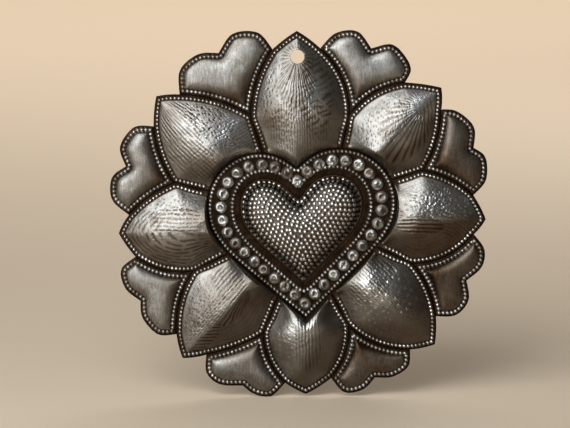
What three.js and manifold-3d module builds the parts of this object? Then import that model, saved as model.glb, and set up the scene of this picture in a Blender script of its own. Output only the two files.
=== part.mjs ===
// Hammered metal heart wall ornament. It is one sheet of steel, raised from behind into a heart inside a
// studded border, eight petals and eight small hearts. Each raised field is a body of its own, and the
// chased lines between the fields are the seams.
//
// Millimetres and degrees, +Z up. The face looks along -Y, and the back of the flat ground lies on the
// wall at y = 0. The origin is the middle of the nail hole. Outlines are drawn on the plate as the viewer
// sees it, x to the right and z up, from the middle of the heart.
import * as THREE from "three";
import { mergeVertices } from "three/addons/utils/BufferGeometryUtils.js";
import Module from "manifold-3d";

// The sheet
const sheetThickness = 1.2;
const seamWidth = 0.3; // chased line between two fields
const marginWidth = 2.5; // flat ground from a field's edge to its raised part

// Height of each kind of field above the ground
const petalRise = 7.8;
const smallHeartRise = 2.9;
const centreHeartRise = 8;

// A petal falls to its sides like a swelling roof, and to the border in a steep flank below a gentle bank
const flankMargin = 0.3; // flat ground between the border's edge and the flank
const keelHalfWidth = 8; // half the width of the raised line along its axis
const keelRounding = 0.6;

// The nail hole, on the top petal's axis
const nailHoleDiameter = 6.5;
const nailHoleInset = 11.7; // petal's tip to the middle of the hole
const nailHoleSides = 24;

// The heart border's outer edge, from the middle of the heart, and its lean to the left
const heartTilt = 3.5;
const borderLeft = 43.2;
const borderRight = 45.7;
const borderWidest = 7.5; // height of the widest place
const borderLobeTop = 33.9;
const borderLobeOffset = 18.6; // from the heart's axis to the top of a lobe
const borderNotch = 25.7;
const borderTip = 46.2;

// Width of the border, which leaves the centre heart inside it
const borderSideWidth = 15.6;
const borderTopWidth = 12.2;
const borderNotchWidth = 15.2;
const borderTipWidth = 17.1;
const lobeOffsetStep = 2.2; // how much nearer the axis the centre heart's lobes are

// The round bosses along the middle of the border
const bossCount = 36;
const bossDiameter = 5.4;
const bossRise = 2;
const bossSides = 8;

// The petals, counter-clockwise from the right. A tip is [turn, reach]: degrees from the petal's even
// place in the ring, and a share of the ring's radius. A keel is the height of the line along the axis.
// A swell is how round the sides are: 0 for a straight roof, 1 for a full curve. A flank is the width of
// the steep fall to the border, and a bank is [share, width]: how much of the height falls more gently.
const ringRadius = 90; // middle of the heart to an even petal's tip
const petalTipBow = 0.4; // swell of a petal's free edge beside its tip
const petals = [
  { name: "petal_right", tip: [1, 0.97], keel: 0.3, swell: 0.2, flank: 0.9, bank: [0.42, 12] },
  { name: "petal_upper_right", tip: [-1, 1.02], keel: 0.6, swell: 0.15, flank: 4.5, bank: [0, 11] },
  { name: "petal_top", tip: [1, 1.005], keel: 0, swell: 0.7, flank: 4.5, bank: [0.5, 24] },
  { name: "petal_upper_left", tip: [3.5, 1], keel: 0.2, swell: 0.15, flank: 4.5, bank: [0.3, 13] },
  { name: "petal_left", tip: [3.5, 0.95], keel: 0.3, swell: 0.15, flank: 1, bank: [0, 11] },
  { name: "petal_lower_left", tip: [4.5, 0.95], keel: 1.2, swell: 0.05, flank: 1, bank: [0, 11] },
  { name: "petal_bottom", tip: [2, 0.915], keel: 0.3, swell: 0.6, flank: 0.8, bank: [0.3, 4] },
  { name: "petal_lower_right", tip: [2.5, 0.96], keel: 0.2, swell: 0.4, flank: 0.9, bank: [0.48, 12] },
];

// The small hearts, each in the valley after the petal of the same place. Points are [turn, reach] as
// above, from the valley's even place. The foot is the turn where the valley meets the border. A shoulder
// is where a heart's edge leaves its neighbour petal, and a bow is that petal's swell into the heart, as a
// share of the ring's radius too.
const smallHearts = [
  {
    name: "small_heart_right_upper",
    foot: 2.5,
    point: [0.5, 0.7],
    notch: [1, 0.985],
    clockwise: { shoulder: [-13.5, 0.915], lobe: [[-9.5, 0.995], [-3, 1.025]], bow: 0.022 },
    counter: { shoulder: [16.5, 0.945], lobe: [[13, 1.005], [6.5, 1.035]], bow: 0.022 },
  },
  {
    name: "small_heart_top_right",
    foot: -7,
    point: [-2, 0.625],
    notch: [0.5, 0.985],
    clockwise: { shoulder: [-14, 0.915], lobe: [[-12.5, 1], [-5, 1.05]], bow: 0.034 },
    counter: { shoulder: [16, 0.92], lobe: [[12, 1.01], [6, 1.045]], bow: 0.042 },
  },
  {
    name: "small_heart_top_left",
    foot: 5.5,
    point: [2, 0.62],
    notch: [3, 0.985],
    clockwise: { shoulder: [-13.5, 0.92], lobe: [[-10, 1.02], [-3, 1.05]], bow: 0.026 },
    counter: { shoulder: [20.5, 0.92], lobe: [[15.5, 1.015], [8.5, 1.03]], bow: 0.026 },
  },
  {
    name: "small_heart_left_upper",
    foot: 3.5,
    point: [5, 0.69],
    notch: [4.5, 0.955],
    clockwise: { shoulder: [-11, 0.915], lobe: [[-7.5, 1], [-0.5, 1.02]], bow: 0.02 },
    counter: { shoulder: [20, 0.895], lobe: [[15.5, 0.99], [9, 1.01]], bow: 0.017 },
  },
  {
    name: "small_heart_left_lower",
    foot: 1.5,
    point: [2.5, 0.62],
    notch: [4, 0.935],
    clockwise: { shoulder: [-10.5, 0.88], lobe: [[-7.5, 0.97], [-1.5, 0.98]], bow: 0.031 },
    counter: { shoulder: [20, 0.88], lobe: [[16, 0.955], [9, 0.97]], bow: 0.027 },
  },
  {
    name: "small_heart_bottom_left",
    foot: 6.5,
    point: [4.5, 0.625],
    notch: [3.5, 0.92],
    clockwise: { shoulder: [-12.5, 0.86], lobe: [[-9, 0.94], [-3.5, 0.96]], bow: 0.014 },
    counter: { shoulder: [17.3, 0.858], lobe: [[13, 0.94], [7.5, 0.945]], bow: 0.028 },
  },
  {
    name: "small_heart_bottom_right",
    foot: 1,
    point: [2.5, 0.61],
    notch: [3, 0.915],
    clockwise: { shoulder: [-11.3, 0.845], lobe: [[-8, 0.935], [-2, 0.95]], bow: 0.03 },
    counter: { shoulder: [18, 0.89], lobe: [[14, 0.955], [8, 0.955]], bow: 0.036 },
  },
  {
    name: "small_heart_right_lower",
    foot: 4.5,
    point: [2, 0.63],
    notch: [3, 0.925],
    clockwise: { shoulder: [-12.5, 0.87], lobe: [[-8.5, 0.955], [-2.5, 0.975]], bow: 0.022 },
    counter: { shoulder: [18.5, 0.91], lobe: [[14, 0.975], [8.5, 0.98]], bow: 0.042 },
  },
];

// How finely each edge is divided. The counts are even, because each dome halves its rim.
const valleySteps = 2;
const sideSteps = 8;
const tipSteps = 6;
const lobeSteps = 10;
const baseSteps = 8;

// A dome's rings, as shares of the way out from its middle, and the roundness of each kind's crown
const domeRings = [0.94, 0.84, 0.68, 0.46, 0.22];
const smallHeartCrown = 0.65;
const centreHeartCrown = 0.62;
const marginLimit = 0.35; // the margin's largest share of the way to the middle, at a sharp point
const footStep = 0.5; // spacing of the points that stand for a dome's foot

const blackenedSteel = { color: 0x54504b, roughness: 0.4, metalness: 1 };
const burnishedSteel = { color: 0x77736d, roughness: 0.35, metalness: 1 };

const wasm = await Module();
wasm.setup();

const heartMiddle = new THREE.Vector2(0, 0);
const fieldTurn = 360 / petals.length;

// A point on the plate at an angle and a reach from the middle of the heart.
function polarPoint(degrees, reach) {
  const angle = THREE.MathUtils.degToRad(degrees);
  return new THREE.Vector2(reach * Math.cos(angle), reach * Math.sin(angle));
}

function petalPoint(index, [turn, reach]) {
  return polarPoint(index * fieldTurn + turn, reach * ringRadius);
}

function valleyPoint(index, [turn, reach]) {
  return polarPoint((index + 0.5) * fieldTurn + turn, reach * ringRadius);
}

// A line from start to end that swells to its left by the bow.
function bowedLine(start, end, bow) {
  const along = end.clone().sub(start).normalize();
  const left = new THREE.Vector2(-along.y, along.x);
  const bend = start.clone().lerp(end, 0.5).addScaledVector(left, 2 * bow);
  return new THREE.QuadraticBezierCurve(start, bend, end);
}

// The points of a curve from its start, without its last one.
function stepsAlong(curve, count) {
  return curve.getSpacedPoints(count).slice(0, count);
}

// The points of a curve from its end back, without its first one.
function stepsBack(curve, count) {
  return curve.getSpacedPoints(count).reverse().slice(0, count);
}

// A heart with straight lower sides, drawn counter-clockwise from its tip and leaning by the tilt.
function heartOutline({ left, right, widest, lobeTop, lobeOffset, notch, tip }) {
  const sideRise = tip + widest;
  const lobeRise = lobeTop - widest;
  const notchRise = lobeTop - notch;
  const half = (width) => [
    [[0, -tip], [0.7 * width, -tip + 0.55 * sideRise], [width, widest - 0.3 * sideRise], [width, widest]],
    [
      [width, widest],
      [width, widest + 0.58 * lobeRise],
      [lobeOffset + 0.55 * (width - lobeOffset), lobeTop],
      [lobeOffset, lobeTop],
    ],
    [
      [lobeOffset, lobeTop],
      [0.58 * lobeOffset, lobeTop],
      [0.35 * lobeOffset, notch + 0.66 * notchRise],
      [0, notch],
    ],
  ];
  const tilt = THREE.MathUtils.degToRad(heartTilt);
  const curveThrough = (corners, side) =>
    new THREE.CubicBezierCurve(
      ...corners.map(([x, z]) => new THREE.Vector2(side * x, z).rotateAround(heartMiddle, tilt)),
    );
  const outline = new THREE.CurvePath();
  half(right).forEach((corners) => outline.add(curveThrough(corners, 1)));
  half(left)
    .reverse()
    .forEach((corners) => outline.add(curveThrough(corners.reverse(), -1)));
  return outline;
}

const borderOuter = heartOutline({
  left: borderLeft,
  right: borderRight,
  widest: borderWidest,
  lobeTop: borderLobeTop,
  lobeOffset: borderLobeOffset,
  notch: borderNotch,
  tip: borderTip,
});
const borderInner = heartOutline({
  left: borderLeft - borderSideWidth,
  right: borderRight - borderSideWidth,
  widest: borderWidest,
  lobeTop: borderLobeTop - borderTopWidth,
  lobeOffset: borderLobeOffset - lobeOffsetStep,
  notch: borderNotch - borderNotchWidth,
  tip: borderTip - borderTipWidth,
});

// The share of a heart's outline, counter-clockwise from its tip, at which its notch lies.
function notchShare(outline) {
  const lengths = outline.getCurveLengths();
  return lengths[lengths.length / 2 - 1] / lengths[lengths.length - 1];
}

// The share of the border's outer edge that is seen at an angle from the middle of the heart.
function borderShareAt(degrees) {
  const wanted = THREE.MathUtils.euclideanModulo(degrees - 270 - heartTilt, 360);
  let low = 0;
  let high = 1;
  for (let halving = 0; halving < 40; halving++) {
    const share = (low + high) / 2;
    const seen = THREE.MathUtils.radToDeg(borderOuter.getPoint(share).angle());
    if (THREE.MathUtils.euclideanModulo(seen - 270 - heartTilt, 360) < wanted) low = share;
    else high = share;
  }
  return low;
}

// The shares of the border's edge along one petal's base, clockwise, with the notch or the tip kept.
function baseShares(fromShare, toShare) {
  const end = toShare > fromShare ? toShare - 1 : toShare;
  const corner = [0, notchShare(borderOuter)].find((share) => share < fromShare && share > end);
  const shares = [];
  for (let step = 0; step < baseSteps; step++) {
    const part = step / baseSteps;
    if (corner === undefined) shares.push(THREE.MathUtils.lerp(fromShare, end, part));
    else if (part < 0.5) shares.push(THREE.MathUtils.lerp(fromShare, corner, 2 * part));
    else shares.push(THREE.MathUtils.lerp(corner, end, 2 * part - 1));
  }
  return shares.map((share) => THREE.MathUtils.euclideanModulo(share, 1));
}

// The chased lines that meet at each valley, shared by the fields on both sides of them.
const valleys = smallHearts.map((heart, index) => {
  const footShare = borderShareAt((index + 0.5) * fieldTurn + heart.foot);
  const foot = borderOuter.getPoint(footShare);
  const point = valleyPoint(index, heart.point);
  const notch = valleyPoint(index, heart.notch);
  const clockwise = valleyPoint(index, heart.clockwise.shoulder);
  const counter = valleyPoint(index, heart.counter.shoulder);
  const lobePoints = (side) => side.lobe.map((place) => valleyPoint(index, place));
  return {
    footShare,
    notch,
    point,
    clockwise,
    counter,
    spoke: new THREE.LineCurve(foot, point),
    clockwiseSide: bowedLine(point, clockwise, heart.clockwise.bow * ringRadius),
    counterSide: bowedLine(point, counter, -heart.counter.bow * ringRadius),
    clockwiseLobe: new THREE.SplineCurve([clockwise, ...lobePoints(heart.clockwise), notch]),
    counterLobe: new THREE.SplineCurve([counter, ...lobePoints(heart.counter), notch]),
  };
});

function valleyBefore(index) {
  return valleys[(index + valleys.length - 1) % valleys.length];
}

const petalBases = petals.map((petal, index) =>
  baseShares(valleys[index].footShare, valleyBefore(index).footShare),
);

// A petal's edge, counter-clockwise: out along one valley, round the tip, back along the other valley
// and across the border's edge.
function petalOutline(index) {
  const before = valleyBefore(index);
  const after = valleys[index];
  const tip = petalPoint(index, petals[index].tip);
  return [
    ...stepsAlong(before.spoke, valleySteps),
    ...stepsAlong(before.counterSide, sideSteps),
    ...stepsAlong(bowedLine(before.counter, tip, -petalTipBow), tipSteps),
    ...stepsAlong(bowedLine(tip, after.clockwise, -petalTipBow), tipSteps),
    ...stepsBack(after.clockwiseSide, sideSteps),
    ...stepsBack(after.spoke, valleySteps),
    ...petalBases[index].map((share) => borderOuter.getPoint(share)),
  ];
}

// A small heart's edge, counter-clockwise from its point.
function smallHeartOutline(valley) {
  return [
    ...stepsAlong(valley.clockwiseSide, sideSteps),
    ...stepsAlong(valley.clockwiseLobe, lobeSteps),
    ...stepsBack(valley.counterLobe, lobeSteps),
    ...stepsBack(valley.counterSide, sideSteps),
  ];
}

// The direction into a field at each point of its outline, long enough to move both edges there by 1.
function inwardSteps(outline) {
  return outline.map((point, index) => {
    const before = outline[(index + outline.length - 1) % outline.length];
    const after = outline[(index + 1) % outline.length];
    const leftOf = (from, to) => new THREE.Vector2(from.y - to.y, to.x - from.x).normalize();
    const first = leftOf(before, point);
    const second = leftOf(point, after);
    return first.clone().add(second).divideScalar(1 + first.dot(second));
  });
}

function insetOutline(outline, distance) {
  const inward = inwardSteps(outline);
  return outline.map((point, index) => point.clone().addScaledVector(inward[index], distance));
}

// The inner edge of a field's margin: each point moves straight towards the field's middle until it is
// one margin away from the edge.
function marginEdge(outline, middle, marginAt) {
  const inward = inwardSteps(outline);
  return outline.map((point, index) => {
    const towards = middle.clone().sub(point);
    const slant = towards.clone().normalize().dot(inward[index].clone().normalize());
    const share = marginAt(index) / Math.max(slant, marginLimit) / towards.length();
    return point.clone().lerp(middle, Math.min(share, marginLimit));
  });
}

function evenPoints(line) {
  const path = new THREE.Path(line);
  return path.getSpacedPoints(Math.round(path.getLength() / footStep));
}

// A distance from a line of points without creases: summed inverse cubes of the distances to them, scaled
// so that it is the true distance beside a straight line.
function softReach(point, line) {
  const cubes = line.map((place) => Math.max(point.distanceTo(place), footStep / 5) ** -3);
  return Math.sqrt(2 / (footStep * cubes.reduce((sum, cube) => sum + cube)));
}

// The greatest value of a reach over the inside of a field.
function greatestReach(outline, middle, reachAt) {
  const shares = [0, 0.1, 0.2, 0.3, 0.4, 0.5, 0.6, 0.7];
  const inside = outline.flatMap((point) => shares.map((share) => middle.clone().lerp(point, share)));
  return Math.max(...inside.map(reachAt));
}

function everySecond(ring) {
  return ring.filter((_, index) => index % 2 === 0);
}

// Triangles between two rings of numbered points, seen counter-clockwise. The inner ring has as many
// points as the outer one, or half as many.
function ringTriangles(outer, inner) {
  const double = outer.length === 2 * inner.length;
  return inner.flatMap((start, index) => {
    const end = inner[(index + 1) % inner.length];
    if (!double) {
      const next = outer[(index + 1) % outer.length];
      return [outer[index], next, end, outer[index], end, start];
    }
    const first = outer[2 * index];
    const middle = outer[2 * index + 1];
    const last = outer[(2 * index + 2) % outer.length];
    return [first, middle, start, middle, end, start, middle, last, end];
  });
}

function flipped(triangles) {
  const turned = [];
  for (let corner = 0; corner < triangles.length; corner += 3)
    turned.push(triangles[corner], triangles[corner + 2], triangles[corner + 1]);
  return turned;
}

// A closed sheet between rings of the plate's points. Each point stands at its own height above the
// ground, and the back follows the front at the sheet's thickness.
function sheetGeometry(rings, apex) {
  const positions = [];
  const front = [];
  const back = [];
  rings.forEach(({ points, heightAt }) => {
    const numbered = (offset) =>
      points.map((point) => {
        positions.push(point.x, -heightAt(point) - offset, point.y);
        return positions.length / 3 - 1;
      });
    front.push(numbered(sheetThickness));
    back.push(numbered(0));
  });
  const last = rings.length - 1;
  const triangles = [];
  for (let ring = 0; ring < last; ring++) {
    triangles.push(...ringTriangles(front[ring], front[ring + 1]));
    triangles.push(...flipped(ringTriangles(back[ring], back[ring + 1])));
  }
  triangles.push(...ringTriangles(back[0], front[0]));
  if (apex) {
    const cap = (ring, number) => ring.flatMap((_, i) => [ring[i], ring[(i + 1) % ring.length], number]);
    positions.push(apex.point.x, -apex.height - sheetThickness, apex.point.y);
    triangles.push(...cap(front[last], positions.length / 3 - 1));
    positions.push(apex.point.x, -apex.height, apex.point.y);
    triangles.push(...flipped(cap(back[last], positions.length / 3 - 1)));
  } else {
    triangles.push(...ringTriangles(front[last], back[last]));
  }
  return new THREE.BufferGeometry()
    .setAttribute("position", new THREE.Float32BufferAttribute(positions, 3))
    .setIndex(triangles);
}

const onGround = () => 0;

// A field with a flat margin and a raised part inside it.
function raisedField(outline, middle, marginAt, heightAt) {
  const foot = marginEdge(outline, middle, marginAt);
  const rings = [
    { points: insetOutline(outline, seamWidth / 2), heightAt: onGround },
    { points: foot, heightAt: onGround },
  ];
  domeRings.forEach((share, index) => {
    const whole = foot.map((point) => middle.clone().lerp(point, share));
    const innermost = index === domeRings.length - 1;
    rings.push({ points: innermost ? everySecond(whole) : whole, heightAt });
  });
  return sheetGeometry(rings, { point: middle, height: heightAt(middle) });
}

// A heart's field: a crowned dome all round.
function domedField(outline, middle, rise, crown) {
  const foot = insetOutline(outline, marginWidth);
  const line = evenPoints([...foot, foot[0]]);
  const reachAt = (point) => softReach(point, line);
  const peak = greatestReach(foot, middle, reachAt);
  const heightAt = (point) => {
    const share = Math.min(reachAt(point) / peak, 1);
    return rise * (share * (2 - share)) ** crown;
  };
  return raisedField(outline, middle, () => marginWidth, heightAt);
}

function solidFrom(geometry) {
  const bare = geometry.clone();
  bare.deleteAttribute("normal");
  bare.deleteAttribute("uv");
  const merged = mergeVertices(bare, 1e-4);
  return new wasm.Manifold(
    new wasm.Mesh({
      numProp: 3,
      vertProperties: merged.attributes.position.array,
      triVerts: new Uint32Array(merged.index.array),
    }),
  );
}

function geometryFrom(solid) {
  const mesh = solid.getMesh();
  return new THREE.BufferGeometry()
    .setAttribute("position", new THREE.BufferAttribute(mesh.vertProperties, 3))
    .setIndex(new THREE.BufferAttribute(mesh.triVerts, 1));
}

// The petals' bases lie round the border clockwise each, so the border's own edge takes them backwards.
const borderShares = petalBases
  .map((shares, index) => [...shares.slice(1), valleyBefore(index).footShare].reverse())
  .flat();
const borderOuterPoints = borderShares.map((share) => borderOuter.getPoint(share));
const borderInnerPoints = borderShares.map((share) => borderInner.getPoint(share));

// The bosses stand evenly along the line midway between the border's edges.
function bossPlaces() {
  const midway = (share) => borderOuter.getPoint(share).lerp(borderInner.getPoint(share), 0.5);
  const fine = Array.from({ length: 10 * bossCount + 1 }, (_, step) => midway(step / (10 * bossCount)));
  return stepsAlong(new THREE.SplineCurve(fine), bossCount);
}

function bossSolid(place) {
  const radius = bossDiameter / 2;
  const top = sheetThickness + bossRise;
  const profile = [
    [0, -top],
    [0.4 * radius, -top],
    [0.8 * radius, -sheetThickness - 0.72 * bossRise],
    [radius, -sheetThickness],
    [radius, -sheetThickness / 2],
    [0, -sheetThickness / 2],
  ];
  const dome = new THREE.LatheGeometry(
    profile.map(([out, y]) => new THREE.Vector2(out, y)),
    bossSides,
  );
  dome.translate(place.x, 0, place.y);
  return solidFrom(dome);
}

function borderGeometry() {
  const plate = sheetGeometry([
    { points: insetOutline(borderOuterPoints, seamWidth / 2), heightAt: onGround },
    { points: insetOutline(borderInnerPoints, -seamWidth / 2), heightAt: onGround },
  ]);
  const studded = bossPlaces().reduce((solid, place) => solid.add(bossSolid(place)), solidFrom(plate));
  return geometryFrom(studded);
}

const borderEdge = evenPoints([...borderOuterPoints, borderOuterPoints[0]]);

// A petal's field: a roof between its two beaded sides, with a keel along its axis, that falls to the
// border in its bank and its flank.
function roofedField(index) {
  const outline = petalOutline(index);
  const { keel, swell, flank, bank } = petals[index];
  const tip = petalPoint(index, petals[index].tip);
  const base = borderOuter.getPoint(borderShareAt(index * fieldTurn + petals[index].tip[0]));
  const middle = base.clone().lerp(tip, 0.5);
  const axis = tip.clone().normalize();
  const sidePoints = outline.length - baseSteps + 1;
  const line = evenPoints(insetOutline(outline, marginWidth).slice(0, sidePoints));
  const reachAt = (point) => softReach(point, line);
  const peak = greatestReach(outline, middle, reachAt);
  const fallAt = (point) => {
    const gap = Math.min(...borderEdge.map((place) => point.distanceTo(place))) - flankMargin;
    const fall = (width) => {
      const share = THREE.MathUtils.clamp(gap / width, 0, 1);
      return share * (2 - share);
    };
    return THREE.MathUtils.lerp(fall(flank), fall(bank[1]), bank[0]);
  };
  const heightAt = (point) => {
    const reach = reachAt(point);
    const share = Math.min(reach / peak, 1);
    const near = Math.max(1 - Math.hypot(point.cross(axis), keelRounding) / keelHalfWidth, 0);
    const ridge = keel * near * THREE.MathUtils.smoothstep(reach, 1, 8);
    return (petalRise * share * (1 + swell * (1 - share)) + ridge) * fallAt(point);
  };
  const marginAt = (step) => (step < sidePoints ? marginWidth : flankMargin);
  return raisedField(outline, middle, marginAt, heightAt);
}

const topPetal = petals.findIndex(({ name }) => name === "petal_top");
const topTip = petalPoint(topPetal, petals[topPetal].tip);
const nailHole = topTip.clone().setLength(topTip.length() - nailHoleInset);

function withNailHole(geometry) {
  const drillLength = 4 * (petalRise + sheetThickness);
  const drill = new THREE.CylinderGeometry(
    nailHoleDiameter / 2,
    nailHoleDiameter / 2,
    drillLength,
    nailHoleSides,
  );
  drill.translate(nailHole.x, 0, nailHole.y);
  return geometryFrom(solidFrom(geometry).subtract(solidFrom(drill)));
}

const ornament = new THREE.Group();
ornament.name = "heart_ornament";

function addField(name, geometry, finish) {
  const field = new THREE.Mesh(geometry, new THREE.MeshStandardMaterial(finish));
  field.name = name;
  field.position.set(-nailHole.x, 0, -nailHole.y);
  ornament.add(field);
}

const centreHeart = domedField(borderInnerPoints, heartMiddle, centreHeartRise, centreHeartCrown);
addField("centre_heart", centreHeart, burnishedSteel);
addField("heart_border", borderGeometry(), blackenedSteel);
petals.forEach(({ name }, index) => {
  const roof = roofedField(index);
  addField(name, index === topPetal ? withNailHole(roof) : roof, burnishedSteel);
});
smallHearts.forEach(({ name }, index) => {
  const valley = valleys[index];
  const middle = valley.point.clone().lerp(valley.notch, 0.6);
  const dome = domedField(smallHeartOutline(valley), middle, smallHeartRise, smallHeartCrown);
  addField(name, dome, burnishedSteel);
});

export default ornament;
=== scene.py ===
import math

import bpy
import numpy as np
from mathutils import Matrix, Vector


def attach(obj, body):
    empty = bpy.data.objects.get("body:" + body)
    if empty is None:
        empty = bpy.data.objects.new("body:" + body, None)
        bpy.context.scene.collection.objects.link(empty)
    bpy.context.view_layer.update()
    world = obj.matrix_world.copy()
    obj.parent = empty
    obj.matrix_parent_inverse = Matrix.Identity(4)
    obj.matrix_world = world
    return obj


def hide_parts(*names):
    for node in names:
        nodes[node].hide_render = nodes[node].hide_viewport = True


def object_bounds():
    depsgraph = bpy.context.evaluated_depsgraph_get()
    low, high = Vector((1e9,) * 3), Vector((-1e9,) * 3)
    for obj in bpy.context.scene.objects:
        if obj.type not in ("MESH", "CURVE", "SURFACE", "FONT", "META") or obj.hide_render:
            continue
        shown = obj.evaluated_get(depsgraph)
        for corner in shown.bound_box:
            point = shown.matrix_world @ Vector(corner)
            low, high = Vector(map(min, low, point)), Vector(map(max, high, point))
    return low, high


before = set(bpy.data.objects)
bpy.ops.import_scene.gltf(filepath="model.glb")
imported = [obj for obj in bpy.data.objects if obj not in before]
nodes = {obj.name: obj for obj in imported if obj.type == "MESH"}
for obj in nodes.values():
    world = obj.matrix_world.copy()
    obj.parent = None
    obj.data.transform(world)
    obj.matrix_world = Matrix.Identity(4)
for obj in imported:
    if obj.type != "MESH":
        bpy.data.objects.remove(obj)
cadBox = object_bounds()
scene = bpy.context.scene
scene.view_settings.view_transform = "Standard"
fine = 1.0
chunk = 2000000  # distances worked out at a time
print("frame loaded:", len(nodes), "fields")

# Plate places are complex numbers in millimetres, x + 1j * z, and heights stand above the flat ground.
sheet = {
    "thickness": 1.2,
    "seam": 0.3,  # gap between the solids, closed here by the chased line
    "edgeRound": 0.25,  # how far the sheet rolls back at its edge
    "edgeWidth": 0.6,
    "edgeStep": 0.25,  # spacing of the points that stand for an edge
    "beadInset": 1.75,  # edge to the middle of a bead row
    "beadRadius": 0.92,
    "beadRise": 0.8,
    "beadTone": 0.74,
    "beadShoulder": 0.45,  # the lower, the wider the rubbed tops
    "beadUneven": 0.6,  # how much the beads differ in tone
    "beadBlotch": 4.5,  # length over which they differ
    "beadSeed": 90,
    "groundTone": 0.15,
    "groundStart": 0.4,  # edge to where the seam's dark ends
    "groundFull": 1.3,  # edge to where the strip has all its tone
    "backShare": 0.55,  # how much of the small relief shows on the back
    "backTone": 0.9,
    "lampSide": -0.6 + 0.8j,  # a step of 1 mm towards the lamps: slopes that rise that way face away from them and get painted shade
}


# Places on the plate

def cadRim(name):
    # points where a solid's upright walls meet the wall side, y = 0
    mesh = nodes[name].data
    places = np.empty(3 * len(mesh.vertices), np.float32)
    mesh.vertices.foreach_get("co", places)
    places = 1000.0 * places.reshape(-1, 3).astype(float)
    corners = np.empty(len(mesh.loops), np.int32)
    mesh.loops.foreach_get("vertex_index", corners)
    faces = places[corners.reshape(-1, 3)]
    normals = np.cross(faces[:, 1] - faces[:, 0], faces[:, 2] - faces[:, 0])
    normals /= np.linalg.norm(normals, axis=1)[:, None] + 1e-12
    mostLean = 0.001
    mostHeight = 0.01
    wall = faces[np.abs(normals[:, 1]) < mostLean].reshape(-1, 3)
    wall = wall[np.abs(wall[:, 1]) < mostHeight]
    return np.unique(np.round(wall[:, 0] + 1j * wall[:, 2], 3))


def roundOrder(points, middle):
    return points[np.argsort(np.angle(points - middle))]


def outward(loop, distance):
    # each corner moves until both its edges lie that far out: the two edge normals' sum over 1 + their dot
    ahead = np.roll(loop, -1) - loop
    normal = -1j * ahead / np.abs(ahead)
    before = np.roll(normal, 1)
    return loop + distance * (normal + before) / (1 + (normal * before.conj()).real)


def smoothLoop(points, count, knots=None):
    # a closed curve through the points: cubic pieces whose slope is the mean of the two edges', the shorter
    # one counting more, broken at sharp corners, then spaced evenly from corner to corner
    cornerTurn = 38  # degrees
    perPiece = 24  # points on each cubic piece
    ahead = np.roll(points, -1) - points
    length = np.abs(ahead)
    unit = ahead / length
    before, lengthBefore = np.roll(unit, 1), np.roll(length, 1)
    sharp = np.degrees(np.abs(np.angle(unit / before))) > cornerTurn
    mean = (before * length + unit * lengthBefore) / (length + lengthBefore)
    slopeOut = np.where(sharp, unit, mean) * length
    slopeIn = np.roll(np.where(sharp, before, mean), -1) * length
    t = np.linspace(0, 1, perPiece, endpoint=False)
    dense = (
        np.outer(points, 2 * t**3 - 3 * t**2 + 1)
        + np.outer(slopeOut, t**3 - 2 * t**2 + t)
        + np.outer(np.roll(points, -1), 3 * t**2 - 2 * t**3)
        + np.outer(slopeIn, t**3 - t**2)
    ).ravel()
    starts = np.flatnonzero(sharp)
    dense = np.roll(dense, -perPiece * starts[0])
    marks = np.append(perPiece * (starts - starts[0]), len(dense))
    closed = np.append(dense, dense[0])
    run = np.append(0, np.cumsum(np.abs(np.diff(closed))))
    if knots is None:
        knots = np.round(run[marks] / run[-1] * count)
    along = np.interp(np.arange(count), knots, run[marks])
    return np.interp(along, run, closed), knots


def nearest(points, targets):
    # distance from each point to the nearest target
    flat, targets = points.ravel().astype(np.complex64), targets.astype(np.complex64)
    found = np.empty(len(flat))
    step = max(1, chunk // len(targets))
    for start in range(0, len(flat), step):
        part = flat[start:start + step]
        found[start:start + step] = np.abs(part[:, None] - targets[None]).min(1)
    return found.reshape(points.shape)


def inset(loop, distance):
    # every point moves along its inward normal, and those that land nearer the loop than that drop out
    along = np.roll(loop, -1) - np.roll(loop, 1)
    moved = loop + 1j * distance * along / np.abs(along)
    slack = 0.04
    return moved[nearest(moved, loop) > abs(distance) - slack]


def evenSteps(loop, pitch, phase=0.0):
    # points at an even pitch round a closed loop
    closed = np.append(loop, loop[0])
    run = np.append(0, np.cumsum(np.abs(np.diff(closed))))
    count = max(1, round(run[-1] / pitch))
    return np.interp((np.arange(count) + phase) * run[-1] / count, run, closed)


# Uneven hand work: numbers that look random but are the same each run

def scatter(column, row, seed):
    # the digits far behind the point of a sine
    mixed = np.sin(column * 127.1 + row * 311.7 + seed * 74.7) * 43758.5453
    return mixed - np.floor(mixed)


def cloud(points, size, seed):
    # smooth blotches, 0 to 1: random corner values of a square net, eased between the corners
    x, z = points.real / size, points.imag / size
    column, row = np.floor(x), np.floor(z)
    x, z = x - column, z - row
    x, z = x * x * (3 - 2 * x), z * z * (3 - 2 * z)
    low = scatter(column, row, seed) * (1 - x) + scatter(column + 1, row, seed) * x
    high = scatter(column, row + 1, seed) * (1 - x) + scatter(column + 1, row + 1, seed) * x
    return low * (1 - z) + high * z


def dapples(points, size, seed, radius, share):
    # hammer dents: 1 at the nearest loose point, 0 at the radius; a share of the net's cells hold a point
    loose = 0.75  # part of its cell in which a point may lie
    far = 9.0
    x, z = points.real / size, points.imag / size
    column, row = np.floor(x), np.floor(z)
    found = np.full(points.shape, far)
    for across in (-1, 0, 1):
        for up in (-1, 0, 1):
            c, r = column + across, row + up
            gapX = c + 0.5 + loose * (scatter(c, r, seed) - 0.5) - x
            gapZ = r + 0.5 + loose * (scatter(c, r, seed + 9) - 0.5) - z
            empty = scatter(c, r, seed + 17) > share
            found = np.minimum(found, gapX**2 + gapZ**2 + far * empty)
    return np.clip(1 - found / radius**2, 0, 1)


def bumps(points, centres, radius):
    # round heads, (1 - r squared) to the power 0.7: 1 on each centre, falling to 0 at the radius
    gap = nearest(points, centres) / radius
    return np.clip(1 - gap**2, 0, 1) ** 0.7


def ease(value, low, high):
    t = np.clip((value - low) / (high - low), 0, 1)
    return t * t * (3 - 2 * t)


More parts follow.
